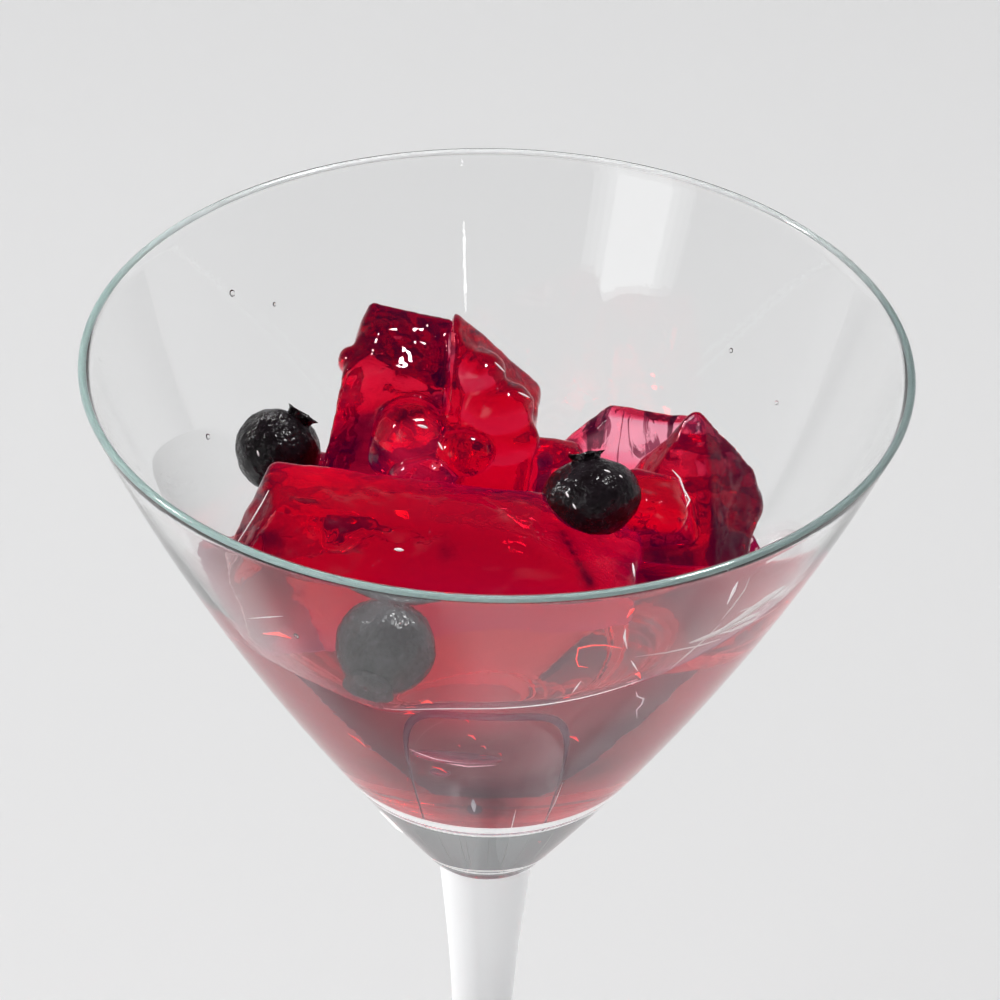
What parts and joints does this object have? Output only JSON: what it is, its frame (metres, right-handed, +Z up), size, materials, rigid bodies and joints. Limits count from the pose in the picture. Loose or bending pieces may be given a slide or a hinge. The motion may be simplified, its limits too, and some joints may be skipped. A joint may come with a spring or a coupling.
{
  "type": "jelly in cocktail glass",
  "caption": "Broken red jelly and dark berries piled in a clear cone-shaped cocktail glass on a white stem with a round foot.",
  "frame": {"origin": "middle of the foot's flat underside", "axes": "+Z up along the stem, -Y towards the side that the picture shows, +X to the right in it"},
  "size_m": [0.108, 0.108, 0.1727],
  "materials": {
    "clear_glass": "clear and polished",
    "white_glass": "white, satin",
    "red_jelly": "clear red, wet gloss",
    "berry_skin": "near black, wet gloss"
  },
  "bodies": {
    "root": {"glass_bowl": "clear_glass", "glass_stem": "white_glass", "jelly_base": "red_jelly", "berry_left": "berry_skin", "berry_right": "berry_skin", "berry_front": "berry_skin", "jelly_peak": "red_jelly", "jelly_slab": "red_jelly", "jelly_lobe": "red_jelly", "jelly_shard": "red_jelly", "jelly_fin": "red_jelly", "jelly_chip": "red_jelly", "jelly_lump": "red_jelly", "jelly_nub": "red_jelly", "jelly_ledge": "red_jelly"}
  },
  "joints": []
}
